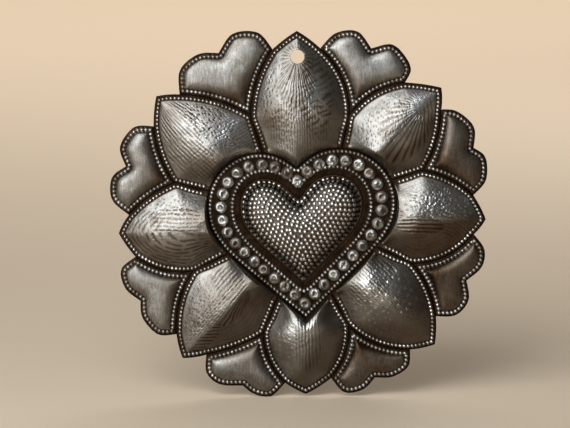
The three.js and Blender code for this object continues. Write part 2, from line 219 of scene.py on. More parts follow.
def beadShine(points, beads):
    # rubbed tops, some more than others in blotches a few beads long
    blotches = cloud(points, sheet["beadBlotch"], sheet["beadSeed"])
    worn = 1 + sheet["beadUneven"] * (blotches - 0.5)
    return sheet["beadTone"] * worn * beads ** sheet["beadShoulder"]


# Grids and meshes

def gridSteps(size):
    # a multiple of 4: the back has half as many, and both have a middle
    return 4 * round(fine * size / 4)


def squareGrid(size):
    # a square net's points as a share round the square and a share of the way out from its middle
    line = np.linspace(-1, 1, size)
    across, up = np.meshgrid(line, line)
    out = np.maximum(np.abs(across), np.abs(up))
    safe = np.where(out == 0, 1, out)
    a, u = across / safe, up / safe
    sides = [(a >= 1) & (u < 1), (u >= 1) & (a > -1), (a <= -1) & (u > -1)]
    share = np.select(sides, [(u + 1) / 8, 0.25 + (1 - a) / 8, 0.5 + (1 - u) / 8], 0.75 + (a + 1) / 8)
    return share, out


def ringOf(grid):
    # the numbers round a block of a net's points, counter-clockwise
    return np.concatenate([grid[:-1, -1], grid[-1, :0:-1], grid[:0:-1, 0], grid[0, :-1]])


def netFaces(grid):
    return np.stack([grid[:-1, :-1], grid[:-1, 1:], grid[1:, 1:], grid[1:, :-1]], -1).reshape(-1, 4)


def wallFaces(front, back):
    # joins a ring to one with half its points: three triangles for each two steps
    first, middle, last = front[0::2], front[1::2], np.roll(front, -2)[0::2]
    after = np.roll(back, -1)
    fans = [(first, back, middle), (middle, back, after), (middle, after, last)]
    return np.concatenate([np.stack(fan, 1) for fan in fans])


def addPiece(name, places, heights, quads, triangles, wearAndPaintedLight, finish):
    # places on the plate and heights towards the viewer become one closed mesh in metres
    co = np.stack([places.real, -heights, places.imag], 1) / 1000
    corners = np.concatenate([quads.ravel(), triangles.ravel()])
    used = np.unique(corners)
    number = np.zeros(len(co), np.int64)
    number[used] = np.arange(len(used))
    corners = number[corners]
    starts = np.concatenate([4 * np.arange(len(quads)), 4 * len(quads) + 3 * np.arange(len(triangles))])
    mesh = bpy.data.meshes.new(name + "_worked")
    mesh.vertices.add(len(used))
    mesh.vertices.foreach_set("co", co[used].astype(np.float32).ravel())
    mesh.loops.add(len(corners))
    mesh.loops.foreach_set("vertex_index", corners.astype(np.int32))
    mesh.polygons.add(len(starts))
    mesh.polygons.foreach_set("loop_start", starts.astype(np.int32))
    mesh.polygons.foreach_set("use_smooth", np.ones(len(starts), bool))
    shade = mesh.attributes.new("wearAndPaintedLight", "FLOAT", "POINT")
    shade.data.foreach_set("value", wearAndPaintedLight[used].astype(np.float32))
    mesh.update(calc_edges=True)
    mesh.materials.append(finish)
    piece = bpy.data.objects.new(name + "_worked", mesh)
    scene.collection.objects.link(piece)
    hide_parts(name)
    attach(piece, "root")


# Finishes

class Signal:
    # a shader socket that takes part in Python sums
    def __init__(self, tree, socket):
        self.tree, self.socket = tree, socket

    @classmethod
    def node(cls, tree, kind, settings, inputs, output=0):
        made = tree.nodes.new(kind)
        stops = settings.pop("stops", None)
        for key, value in settings.items():
            setattr(made, key, value)
        if stops:
            ramp = made.color_ramp.elements
            while len(ramp) < len(stops):
                ramp.new(0.5)
            for element, (place, colour) in zip(ramp, stops):
                element.position, element.color = place, (*colour, 1)
        for key, value in inputs.items():
            if isinstance(value, Signal):
                tree.links.new(value.socket, made.inputs[key])
            else:
                made.inputs[key].default_value = value
        return cls(tree, made.outputs[output] if made.outputs else None)

    def maths(self, operation, first, second):
        return Signal.node(self.tree, "ShaderNodeMath", {"operation": operation}, {0: first, 1: second})

    def __add__(self, other):
        return self.maths("ADD", self, other)

    def __radd__(self, other):
        return self.maths("ADD", other, self)

    def __sub__(self, other):
        return self.maths("SUBTRACT", self, other)

    def __mul__(self, other):
        return self.maths("MULTIPLY", self, other)

    def __rmul__(self, other):
        return self.maths("MULTIPLY", other, self)


def steelFinish(name, look):
    # patina in the lows, grey steel on the forms and rubbed steel on the highs, with painted shade and
    # painted highlights mixed in, all by one tone attribute
    finish = bpy.data.materials.new(name)
    finish.use_nodes = True
    tree = finish.node_tree
    tree.nodes.clear()
    place = Signal.node(tree, "ShaderNodeTexCoord", {}, {}, "Object")
    wearAndPaintedLight = Signal.node(tree, "ShaderNodeAttribute", {"attribute_name": "wearAndPaintedLight"}, {}, "Fac")

    def noise(scale, detail, stretch=(1, 1, 1)):
        at = Signal.node(tree, "ShaderNodeMapping", {}, {"Vector": place, "Scale": stretch})
        inputs = {"Vector": at, "Scale": scale, "Detail": detail, "Roughness": look["noiseRough"]}
        return Signal.node(tree, "ShaderNodeTexNoise", {}, inputs)

    mottle = noise(look["mottleScale"], look["mottleDetail"])
    grain = noise(look["grainScale"], look["fineDetail"])
    brushed = noise(look["brushScale"], look["fineDetail"], look["brushStretch"])
    tone = wearAndPaintedLight + (mottle - 0.5) * look["mottle"] + (grain - 0.5) * look["grain"]
    tone = tone + (brushed - 0.5) * look["brush"]
    colour = Signal.node(tree, "ShaderNodeValToRGB", {"stops": look["tones"]}, {"Fac": tone}, "Color")
    rough = look["roughLow"] + (look["roughHigh"] - look["roughLow"]) * tone
    rough = rough + (grain - 0.5) * look["roughGrain"]
    relief = brushed * look["brushBump"] + grain * (1 - look["brushBump"])
    bump = {"Strength": look["bump"], "Distance": look["bumpDepth"], "Height": relief}
    normal = Signal.node(tree, "ShaderNodeBump", {}, bump, "Normal")
    inputs = {"Base Color": colour, "Roughness": rough, "Metallic": look["metallic"], "Normal": normal}
    shader = Signal.node(tree, "ShaderNodeBsdfPrincipled", {}, inputs, "BSDF")
    Signal.node(tree, "ShaderNodeOutputMaterial", {}, {"Surface": shader})
    return finish


steelTones = [
    (0.0, (0.0105, 0.006, 0.0034)),
    (0.15, (0.036, 0.0212, 0.0122)),
    (0.3, (0.082, 0.0565, 0.038)),
    (0.55, (0.154, 0.136, 0.117)),
    (0.8, (0.365, 0.351, 0.332)),
    (1.0, (0.8, 0.788, 0.772)),
]
# mottle, grain, brush: how far each noise shifts the tone, rough: at tone 0 and at tone 1, bumpDepth: in
# metres, brushBump: the brush marks' share of the bump, the rest being grain
hammeredLook = {
    "tones": steelTones,
    "mottleScale": 150, "mottle": 0.25, "mottleDetail": 4,
    "grainScale": 1900, "grain": 0.2, "fineDetail": 3,
    "brushScale": 900, "brushStretch": (1, 1, 0.15), "brush": 0.1,
    "noiseRough": 0.6,
    "roughLow": 0.5, "roughHigh": 0.24, "roughGrain": 0.12, "metallic": 1.0,
    "bump": 0.12, "bumpDepth": 0.0004, "brushBump": 0.3,
}
satinLook = dict(
    hammeredLook, mottle=0.32, grain=0.34, brushScale=1500, brush=0.36, roughHigh=0.4, bump=0.2
)
dottedLook = dict(hammeredLook, mottle=0.15, grain=0.12)
blackenedLook = dict(hammeredLook, mottle=0.2, grain=0.2, roughHigh=0.4)

hammeredSteel = steelFinish("hammered steel", hammeredLook)
satinSteel = steelFinish("satin steel", satinLook)
dottedSteel = steelFinish("dotted steel", dottedLook)
blackenedSteel = steelFinish("blackened steel", blackenedLook)
print("finishes made")


# The domed fields

def softReach(points, foot):
    # a distance to a line of points without creases: summed inverse cubes of the distances, scaled so that
    # it is the true distance beside a straight line
    leastGap = 0.05
    flat, foot = points.ravel().astype(np.complex64), foot.astype(np.complex64)
    found = np.empty(len(flat))
    step = max(1, chunk // len(foot))
    for start in range(0, len(flat), step):
        near = np.maximum(np.abs(flat[start:start + step, None] - foot[None]), leastGap)
        found[start:start + step] = (1 / (near * near * near)).sum(1)
    return np.sqrt(2 / sheet["edgeStep"] / found).reshape(points.shape)


def domeOf(loop, middle, footInset):
    # the foot, which is the outline moved in by its inset, and the greatest soft reach on spokes through
    # the middle
    edge = evenSteps(loop, sheet["edgeStep"])
    dome = {"edge": edge, "foot": evenSteps(inset(loop, footInset), sheet["edgeStep"]), "inset": footInset}
    spoke = np.linspace(-0.6, 0.6, 41)
    inside = middle + np.outer(spoke, loop[::12] - middle)
    dome["peak"] = np.where(nearest(inside, edge) > footInset, softReach(inside, dome["foot"]), 0).max()
    return dome


def domeShare(points, gap, dome, crown):
    # (t (2 - t)) to the crown's power, where t is the soft reach over its greatest value
    share = np.clip(softReach(points, dome["foot"]) / dome["peak"], 0, 1)
    return np.where(gap > dome["inset"], (share * (2 - share)) ** crown, 0)


def roofOf(loop, plainSide, look):
    # the outline's points along the beads and along the border, and the foot inside the beads
    touching = 0.6
    slack = 0.05
    edge = evenSteps(loop, sheet["edgeStep"])
    foot = evenSteps(inset(loop, look["footInset"]), sheet["edgeStep"])
    plain = nearest(edge, plainSide) < touching
    roof = {"beadSide": edge[~plain], "plainSide": edge[plain]}
    roof["foot"] = foot[nearest(foot, roof["beadSide"]) < look["footInset"] + slack]
    return roof


def borderFall(borderGap, look):
    # t (2 - t) for the steep flank and for the gentle bank, where t is the distance to the border over its
    # width
    steep, gentle = (
        np.clip((borderGap - look["borderInset"]) / look[width], 0, 1) for width in ("flank", "bankWidth")
    )
    return (1 - look["bank"]) * steep * (2 - steep) + look["bank"] * gentle * (2 - gentle)


def edgeRoll(gap):
    return sheet["edgeRound"] * np.clip(1 - gap / sheet["edgeWidth"], 0, 1) ** 2


# what a layer of tool marks has unless it says otherwise; lengths of grooves are in pitches
plainMark = {
    "depth": 0,
    "shade": 0.25,  # tone lost in a mark
    "turn": 0,  # degrees
    "stretch": 1,
    "focus": 0,
    "width": 0.2,
    "wander": 0.4,  # how far a groove strays
    "wanderSize": 4.0,
    "leastGroove": 0.5,  # share of the depth that the weakest mark has
    "leastStud": 0.3,
    "dashEnd": 0.2,  # part of a dash over which each end fades
    "patchEdge": 1.25,  # squared share of the patch's size where its marks end
    "patchFade": 0.6,  # part of that over which they fade
    "keelBlend": 0.5,  # distance from the keel within which a one-sided layer fades
}


def mark(kind, at, size, **more):
    # a layer's kind, the place of its oval patch, the patch's half sizes and what else differs
    return dict(plainMark, kind=kind, at=at, size=size, **more)


def paintedLight(at, size, shade, **more):
    # a patch of painted light, fading from its middle: a painted highlight where its shade is below 0,
    # painted shade where it is above 0
    return mark("paintedLight", at, size, shade=shade, patchFade=plainMark["patchEdge"], **more)


def studs(turned, layer, seed):
    # raised heads in rows, each second row half a pitch along, with a random slip and force
    row = np.round(turned.imag / layer["row"])
    along = turned.real / layer["pitch"] + 0.5 * row
    column = np.round(along)
    across, up = (scatter(column, row, number) - 0.5 for number in (seed, seed + 9))
    away = (along - column) * layer["pitch"] + 1j * (turned.imag - row * layer["row"])
    away = away + layer["slip"] * (across + 1j * up)
    force = layer["leastStud"] + (1 - layer["leastStud"]) * scatter(column, row, seed + 4)
    return -force * np.clip(1 - (np.abs(away) / layer["radius"]) ** 2, 0, 1)


def grooves(local, turned, reach, layer, seed):
    # grooves lie halfway between a phase's whole numbers: it counts across straight lines, rays from a
    # focus, arcs round it, veins at a fixed share of the petal's width, or contours of the soft reach
    kind, pitch = layer["kind"], layer["pitch"]
    away = local - layer["focus"]
    if kind == "lines":
        phase, along = turned.imag / pitch, turned.real
    elif kind == "rays":
        phase, along = np.degrees(np.angle(away * layer["facing"])) / pitch, np.abs(away)
    elif kind == "arcs":
        phase, along = np.abs(away) / pitch, np.abs(away) * np.angle(away)
    elif kind == "veins":
        nearTip = 0.985
        narrow = np.clip((local.real - layer["base"]) / (layer["tip"] - layer["base"]), 0, nearTip)
        phase, along = local.imag / (pitch * (1 - narrow**2) ** 0.6), local.real
    else:
        phase, along = reach / pitch, local.real
    phase = phase + layer["wander"] * (cloud(local, layer["wanderSize"], seed) - 0.5)
    line = np.floor(phase)
    force = layer["leastGroove"] + (1 - layer["leastGroove"]) * scatter(line, 3.0, seed)
    if "dash" in layer:
        step = along / layer["dash"] + scatter(line, 5.0, seed)
        step = step - np.floor(step)
        force = force * ease(step, 0, layer["dashEnd"]) * ease(1 - step, 0, layer["dashEnd"])
    return force * np.exp(-(((phase - line - 0.5) / layer["width"]) ** 2))


def toolMarks(local, reach, layer, seed):
    # how deep one layer goes, 0 to 1, inside its patch and on its side of the keel
    at = local - layer["at"]
    wide, high = layer["size"]
    inside = layer["patchEdge"] - (at.real / wide) ** 2 - (at.imag / high) ** 2
    strength = ease(inside, 0, layer["patchFade"])
    if "side" in layer:
        strength = strength * ease(layer["side"] * local.imag, -layer["keelBlend"], layer["keelBlend"])
    turned = local * np.exp(-1j * math.radians(layer["turn"]))
    if layer["kind"] == "paintedLight":
        return strength
    if layer["kind"] == "dents":
        squeezed = turned.real / layer["stretch"] + 1j * turned.imag
        return strength * dapples(squeezed, layer["pitch"], seed, layer["radius"], layer["share"])
    if layer["kind"] == "studs":
        return strength * studs(turned, layer, seed)
    return strength * grooves(local, turned, reach, layer, seed)


def ground(gap):
    # dark in the seam, brown on the flat strip that carries the beads
    return sheet["groundTone"] * ease(gap, sheet["groundStart"], sheet["groundFull"])


def petalForm(points, petal):
    # a roof, rise s (1 + swell (1 - s)) for s the share of its greatest soft reach, and a keel along its
    # axis, both times the fall to the border
    look, roof = petal["look"], petal["roof"]
    local = (points - petal["middle"]) * np.conj(petal["axis"])
    beadGap, borderGap = nearest(points, roof["beadSide"]), nearest(points, roof["plainSide"])
    reach = np.where(beadGap > look["footInset"], softReach(points, roof["foot"]), 0)
    fall = borderFall(borderGap, look)
    share = np.clip(reach / petal["peak"], 0, 1)
    keel = np.clip(1 - np.hypot(local.imag, look["keelRound"]) / look["keelWidth"], 0, 1)
    keel = keel * ease(reach, look["keelStart"], look["keelFull"])
    body = (look["rise"] * share * (1 + look["swell"] * (1 - share)) + look["keel"] * keel) * fall
    return body, reach, fall, np.minimum(beadGap, borderGap), borderGap


def petalRelief(points, petal, back):
    # the petal's form with tool marks and the bead rows, less the rolled edge
    look = petal["look"]
    local = (points - petal["middle"]) * np.conj(petal["axis"])
    body, reach, fall, gap, borderGap = petalForm(points, petal)
    # painted shade: share of the tone lost on the slopes that face away from the lamps
    awayFromLamp = ease(petalForm(points + sheet["lampSide"], petal)[0] - body, 0.0, look["shadeAwaySlope"])
    onRoof = ease(reach * fall, look["markStart"], look["markFull"])
    beads = bumps(points, petal["beads"], sheet["beadRadius"])
    marks, shade = np.zeros(points.shape), np.zeros(points.shape)
    for number, layer in enumerate(look["layers"]):
        # the patches of painted highlight and painted shade stay off the back
        if back and layer["kind"] == "paintedLight":
            continue
        cut = toolMarks(local, reach, layer, petal["seed"] + look["layerSeeds"] * number)
        marks -= layer["depth"] * cut
        shade -= layer["shade"] * cut
    marks += look["uneven"] * (cloud(points, look["unevenSize"], petal["seed"]) - 0.5)
    marks += look["grain"] * (cloud(points, look["grainSize"], petal["seed"] + 1) - 0.5)
    part = sheet["backShare"] if back else 1.0
    height = np.maximum(body + part * marks * onRoof, part * sheet["beadRise"] * beads)
    height = height - (0 if back else edgeRoll(gap))
    # painted shade: tone lost beside the border, and on the slopes that face away from the lamps
    paintedShade = look["paintedShade"] * np.exp(-borderGap / look["paintedShadeReach"])
    tone = look["tone"] - look["shadeAwayFromLamp"] * awayFromLamp + shade
    tone = tone * ease(reach * fall, look["toneStart"], look["toneFull"])
    wearAndPaintedLight = np.maximum(tone - paintedShade, ground(gap))
    return height, np.maximum(wearAndPaintedLight, beadShine(points, beads))


def heartRelief(points, heart, back):
    # a smooth dome, lower towards the plate's edge, inside its bead row
    look, dome = heart["look"], heart["dome"]
    gap = nearest(points, dome["edge"])
    share = domeShare(points, gap, dome, look["crown"])
    beads = bumps(points, heart["beads"], sheet["beadRadius"])
    part = sheet["backShare"] if back else 1.0
    worn = look["uneven"] * (cloud(points, look["unevenSize"], heart["seed"]) - 0.5)
    worn = worn * ease(share, look["unevenStart"], look["unevenFull"])
    out = ((points - heart["middle"]) * np.conj(heart["axis"])).real
    height = share * (look["rise"] - heart["lean"] * out) + worn
    height = np.maximum(height, part * sheet["beadRise"] * beads)
    height = height - (0 if back else edgeRoll(gap))
    # painted shade for the hearts away from the lamps and for single hearts, and a darkening towards the
    # point
    tone = look["tone"] - heart["paintedShade"] - look["pointDarkening"] * ease(-out, 0.0, look["pointReach"])
    wearAndPaintedLight = np.maximum(tone * ease(gap - dome["inset"], 0.0, look["toneFull"]), ground(gap))
    return height, np.maximum(wearAndPaintedLight, beadShine(points, beads))


def centreRelief(points, heart, back):
    # a dome covered with rows of round dots, and a milled line round its edge
    look, dome = heart["look"], heart["dome"]
    share = domeShare(points, nearest(points, dome["edge"]), dome, look["crown"])
    dots = bumps(points, heart["dots"], look["dotRadius"])
    milled = bumps(points, heart["milled"], look["milledRadius"])
    part = sheet["backShare"] if back else 1.0
    height = look["rise"] * share + part * (look["dotRise"] * dots + look["milledRise"] * milled)
    # painted shade: the ground and the dots lose tone towards the side away from the lamps
    awayFromLamp = ease(((points - heartMiddle) / sheet["lampSide"]).real, look["awayShadeStart"], look["awayShadeFull"])
    wearAndPaintedLight = look["ground"] * ease(share, look["groundStart"], look["groundFull"])
    wearAndPaintedLight = wearAndPaintedLight * (1 - look["groundAwayShade"] * awayFromLamp)
    dotTone = look["dotTone"] * (1 - look["dotAwayShade"] * awayFromLamp) * dots ** look["dotShoulder"]
    return height, np.maximum(wearAndPaintedLight, np.maximum(dotTone, look["milledTone"] * milled))


def fieldGrid(field, size):
    # the outline shrunk towards the grid's middle; rings crowd near the edge, where the beads are
    share, out = squareGrid(size)
    loop = field["loop"]
    edge = np.interp(share * len(loop), np.arange(len(loop) + 1), np.append(loop, loop[0]))
    grid = np.arange(size * size).reshape(size, size)
    if "hole" not in field:
        reach = np.interp(out, [0, field["crowd"][0], 1], [0, field["crowd"][1], 1])
        return field["middle"] + (edge - field["middle"]) * reach, grid, None
    away = edge - field["hole"]
    start = field["holeShare"]
    reach = np.clip((out - start) / (1 - start), 0, 1)
    radius = field["holeRadius"] + (np.abs(away) - field["holeRadius"]) * reach
    last = size // 2
    ring = round(start * last)
    block = grid[last - ring:last + ring + 1, last - ring:last + ring + 1]
    return field["hole"] + away / np.abs(away) * radius, grid, block


def dropBlock(faces, block):
    # faces whose corners all lie in the block are the hole
    return faces if block is None else faces[~np.isin(faces, block).all(1)]


def bothSides(front, frontRelief, back, backRelief):
    # the places, heights and tones of the face and then of the back
    places = np.concatenate([front.ravel(), back.ravel()])
    heights = np.concatenate([frontRelief[0].ravel() + sheet["thickness"], backRelief[0].ravel()])
    tones = np.concatenate([frontRelief[1].ravel(), sheet["backTone"] * backRelief[1].ravel()])
    return places, heights, tones


def addField(name, field, relief, size, finish):
    size = gridSteps(size) + 1
    front, grid, block = fieldGrid(field, size)
    back, backGrid, backBlock = fieldGrid(field, size // 2 + 1)
    places, heights, tone = bothSides(front, relief(front, field, False), back, relief(back, field, True))
    backGrid = backGrid + front.size
    walls = [wallFaces(ringOf(grid), ringOf(backGrid))]
    if block is not None:
        backBlock = backBlock + front.size
        walls.append(wallFaces(ringOf(block), ringOf(backBlock))[:, ::-1])
    faces = dropBlock(netFaces(grid), block)
    backFaces = dropBlock(netFaces(backGrid)[:, ::-1], backBlock)
    quads = np.concatenate([faces, backFaces])
    addPiece(name, places, heights, quads, np.concatenate(walls), tone, finish)


def fieldLoop(name, size):
    # the outline, with a point for each step round the field's grid, and its middle
    rim = cadRim(name)
    loop, _ = smoothLoop(outward(roundOrder(rim, rim.mean()), sheet["seam"] / 2), 4 * gridSteps(size))
    return loop, loop.mean()


def petalAxis(loop):
    # from the middle of the heart to the tip, and the middle of the part of that line inside the petal
    tip = loop[np.argmax(np.abs(loop - heartMiddle))]
    reach = abs(tip - heartMiddle)
    axis = (tip - heartMiddle) / reach
    seen = (loop - heartMiddle) * np.conj(axis)
    mostBase = 0.7 * reach
    near = seen[seen.real < mostBase]
    base = near[np.argmin(np.abs(near.imag))].real
    return axis, heartMiddle + axis * (base + reach) / 2


# The heart's border

borderLook = {
    "around": 1200,
    "across": 48,
    "outerInset": 1.25,  # edge to the middle of the outer bead row
    "innerInset": 3.8,
    "beadPitch": 1.95,
    "beadRadius": 0.9,
    "beadRise": 0.8,
    "bossesEachSide": 18,  # from the tip to the notch
    "bossRadius": 3.0,
    "bossRise": 1.7,
    "bossWobble": 0.15,  # how much a boss's outline strays
    "wobbleSize": 6.0,
    "bossUneven": 0.8,
    "unevenSize": 1.2,
    "dimpleStray": 1.3,  # width of the square in which a dimple's middle may lie
    "dimpleRadius": 2.0,
    "dimpleDepth": 0.6,
    "dimpleSoft": 0.8,  # part of its radius over which it deepens
    "worn": 0.12,
    "wornSize": 1.6,
    "ground": 0.03,
    "bossTone": 0.7,
    "toneUneven": 0.6,
    "toneBlotch": 5.0,
    "toneFull": 0.3,  # share of a boss's height that has all its tone
    "dimplePatina": 0.33,
    "seed": 4,
    "dimpleSeed": 41,
}

heartMiddle = 1.374 - 78.738j  # from the nail hole
seamReach = 1  # rim points nearer the centre heart than this are the border's inner edge
innerRim = roundOrder(cadRim("centre_heart"), heartMiddle)
borderRim = cadRim("heart_border")
outerRim = roundOrder(borderRim[nearest(borderRim, innerRim) > seamReach], heartMiddle)
around = gridSteps(borderLook["around"])
outerLoop, borderKnots = smoothLoop(outward(outerRim, sheet["seam"] / 2), around)
innerLoop, _ = smoothLoop(outward(innerRim, sheet["seam"] / 2), around, borderKnots)


def borderRows(look):
    # the bead rows, and the line of bosses halfway between them
    outerRow = inset(outerLoop, look["outerInset"])
    innerRow = inset(innerLoop, -look["innerInset"])
    width = np.abs(outerLoop - innerLoop)
    middle = 0.5 + 0.5 * (look["outerInset"] - look["innerInset"]) / width
    bossLine = outerLoop + (innerLoop - outerLoop) * middle
    beads = [evenSteps(row, look["beadPitch"]) for row in (outerRow, innerRow)]
    bosses = []
    for start, end in zip(borderKnots[:-1].astype(int), borderKnots[1:].astype(int)):
        side = np.append(bossLine[start:end], bossLine[end % len(bossLine)])
        run = np.append(0, np.cumsum(np.abs(np.diff(side))))
        share = np.arange(look["bossesEachSide"]) / look["bossesEachSide"]
        bosses.append(np.interp(share * run[-1], run, side))
    return np.concatenate(beads), np.concatenate(bosses)


borderBeads, bossPlaces = borderRows(borderLook)
bossOrder = np.arange(len(bossPlaces))
across, up = (scatter(bossOrder, draw, borderLook["dimpleSeed"]) - 0.5 for draw in (1.0, 2.0))
dimplePlaces = bossPlaces + borderLook["dimpleStray"] * (across + 1j * up)


def borderRelief(points, edgeGap, back):
    # flat ground, two bead rows, and bosses that are low domes with a dished top: 1 - r to the power 2.4,
    # all to the power 0.9
    look, seed = borderLook, borderLook["seed"]
    beads = bumps(points, borderBeads, look["beadRadius"])
    gap = nearest(points, bossPlaces)
    gap = gap * (1 + look["bossWobble"] * (cloud(points, look["wobbleSize"], seed) - 0.5))
    boss = np.clip(1 - (gap / look["bossRadius"]) ** 2.4, 0, 1) ** 0.9
    dish = look["dimpleRadius"] - nearest(points, dimplePlaces)
    dish = ease(dish, 0, look["dimpleSoft"] * look["dimpleRadius"])
    dents = look["bossUneven"] * (cloud(points, look["unevenSize"], seed + 2) - 0.5) * boss
    bossHeight = look["bossRise"] * boss - look["dimpleDepth"] * dish + dents
    part = sheet["backShare"] if back else 1.0
    worn = look["worn"] * (cloud(points, look["wornSize"], seed + 1) - 0.5)
    height = part * (np.maximum(bossHeight, look["beadRise"] * beads) + worn)
    height = height - (0 if back else edgeRoll(edgeGap))
    blotches = cloud(points, look["toneBlotch"], seed + 4)
    bossTone = look["bossTone"] * (1 + look["toneUneven"] * (blotches - 0.5))
    bossTone = bossTone * ease(boss, 0.0, look["toneFull"]) - look["dimplePatina"] * dish
    wearAndPaintedLight = np.maximum(beadShine(points, beads), bossTone)
    return height, np.maximum(wearAndPaintedLight, look["ground"])


def addBorder():
    # the band between the two outlines: straight lines across, from the outer one to the inner one
    across = round(fine * borderLook["across"] / 2) * 2
    share = np.linspace(0, 1, across + 1)[:, None]
    front = outerLoop[None] * (1 - share) + innerLoop[None] * share
    edgeGap = np.minimum(share, 1 - share) * np.abs(outerLoop - innerLoop)[None]
    back = front[::2, ::2]
    frontRelief = borderRelief(front, edgeGap, False)
    backRelief = borderRelief(back, edgeGap[::2, ::2], True)
    places, heights, tone = bothSides(front, frontRelief, back, backRelief)
    grid = np.arange(front.size).reshape(front.shape)
    backGrid = np.arange(back.size).reshape(back.shape) + front.size
    closedGrid = np.concatenate([grid, grid[:, :1]], 1)
    closedBack = np.concatenate([backGrid, backGrid[:, :1]], 1)
    quads = np.concatenate([netFaces(closedGrid)[:, ::-1], netFaces(closedBack)])
    walls = [wallFaces(grid[0], backGrid[0]), wallFaces(grid[-1], backGrid[-1])[:, ::-1]]
    triangles = np.concatenate(walls)
    addPiece("heart_border", places, heights, quads, triangles, tone, blackenedSteel)


addBorder()
print("border:", len(borderBeads), "beads,", len(bossPlaces), "bosses")

# The heart in the middle

centreLook = {
    "size": 232,
    "rise": 8.0,
    "crown": 0.62,
    "footInset": 1.7,
    "dotStart": 1.9,  # edge to the first row of dots
    "dotPitch": 2.35,
    "rowPitch": 2.1,
    "dotRadius": 1.05,
    "dotRise": 0.65,
    "dotStray": 0.32,  # width of the square in which a dot's middle may lie
    "fillGap": 0.8,  # in pitches: a gap this wide gets a dot of its own
    "dotTone": 0.92,
    "dotShoulder": 0.5,  # the lower, the wider the rubbed tops
    "dotAwayShade": 0.15,  # share of the dots' tone lost as painted shade on the side away from the lamps
    "milledInset": 0.5,
    "milledPitch": 0.9,
    "milledRadius": 0.55,
    "milledRise": 0.3,
    "milledTone": 0.15,
    "ground": 0.42,
    "groundStart": 0.3,  # shares of the dome's height where the ground's tone starts and is full
    "groundFull": 0.9,
    "groundAwayShade": 0.6,
    "awayShadeStart": 5,  # millimetres towards the lamps where the painted shade starts; it is full at the next value
    "awayShadeFull": -20,
    "crowd": (0.5, 0.5),
}


def dotRows(loop, look):
    # rows of dots inside the outline, one row pitch apart, until no room is left, then single dots in the
    # widest gaps of a fine net of places
    fewest = 12
    rows, distance = [], look["dotStart"]
    while True:
        row = inset(loop, distance)
        if len(row) < fewest:
            break
        rows.append(evenSteps(row, look["dotPitch"], 0.5 * (len(rows) % 2)))
        distance += look["rowPitch"]
    dots = np.concatenate(rows)
    line = np.arange(-40, 40, 0.5)
    spare = (heartMiddle + line[None] + 1j * line[:, None]).ravel()
    spare = spare[nearest(spare, rows[0]) > look["rowPitch"]]
    spare = spare[nearest(spare, loop) > look["dotStart"]]
    # the first row turns once round the places inside it
    turns = np.angle((np.roll(rows[0], -1)[None] - spare[:, None]) / (rows[0][None] - spare[:, None]))
    spare = spare[np.abs(turns.sum(1)) > math.pi]
    while True:
        gaps = nearest(spare, dots)
        if gaps.max() < look["fillGap"] * look["dotPitch"]:
            break
        dots = np.append(dots, spare[np.argmax(gaps)])
    across, up = (scatter(dots.real, dots.imag, seed) - 0.5 for seed in (1, 2))
    return dots + look["dotStray"] * (across + 1j * up)


centreLoop, _ = fieldLoop("centre_heart", centreLook["size"])
centreField = {
    "loop": centreLoop,
    "middle": heartMiddle,
    "dome": domeOf(centreLoop, heartMiddle, centreLook["footInset"]),
    "dots": dotRows(centreLoop, centreLook),
    "milled": evenSteps(inset(centreLoop, centreLook["milledInset"]), centreLook["milledPitch"]),
    "crowd": centreLook["crowd"],
    "look": centreLook,
}
addField("centre_heart", centreField, centreRelief, centreLook["size"], dottedSteel)
print("centre heart:", len(centreField["dots"]), "dots")

# The petals. A layer's place and size are millimetres from the petal's middle, the tip along +x and the
# counter-clockwise side along +y

petalLook = {
    "size": 248,
    "rise": 7.8,
    "bank": 0,
    "bankWidth": 11,
    "keel": 0.2,
    "keelWidth": 8.0,
    "keelRound": 0.6,
    "keelStart": 1,  # reaches where the keel starts and is full
    "keelFull": 8,
    "footInset": 2.5,
    "borderInset": 0.3,  # foot to the border's edge, where there are no beads
    "beadPitch": 1.88,
    "beadClear": 2.4,  # least distance of a bead from the border
    "markStart": 0.3,  # reaches, times the fall, where tool marks start and are full
    "markFull": 2.0,
    "uneven": 0.16,
    "unevenSize": 4.0,
    "grain": 0.08,
    "grainSize": 0.8,
    "tone": 0.62,
    "toneStart": 0.05,
    "toneFull": 0.6,
    "shadeAwaySlope": 0.3,  # slope, away from the lamps, that has all the painted shade
    "paintedShade": 0.2,  # tone lost beside the border, a painted shade
    "paintedShadeReach": 2.5,
    "crowd": (0.7, 0.78),  # how far out on the grid and on the petal
    "seeds": 20,  # from petal to petal
    "layerSeeds": 11,
}
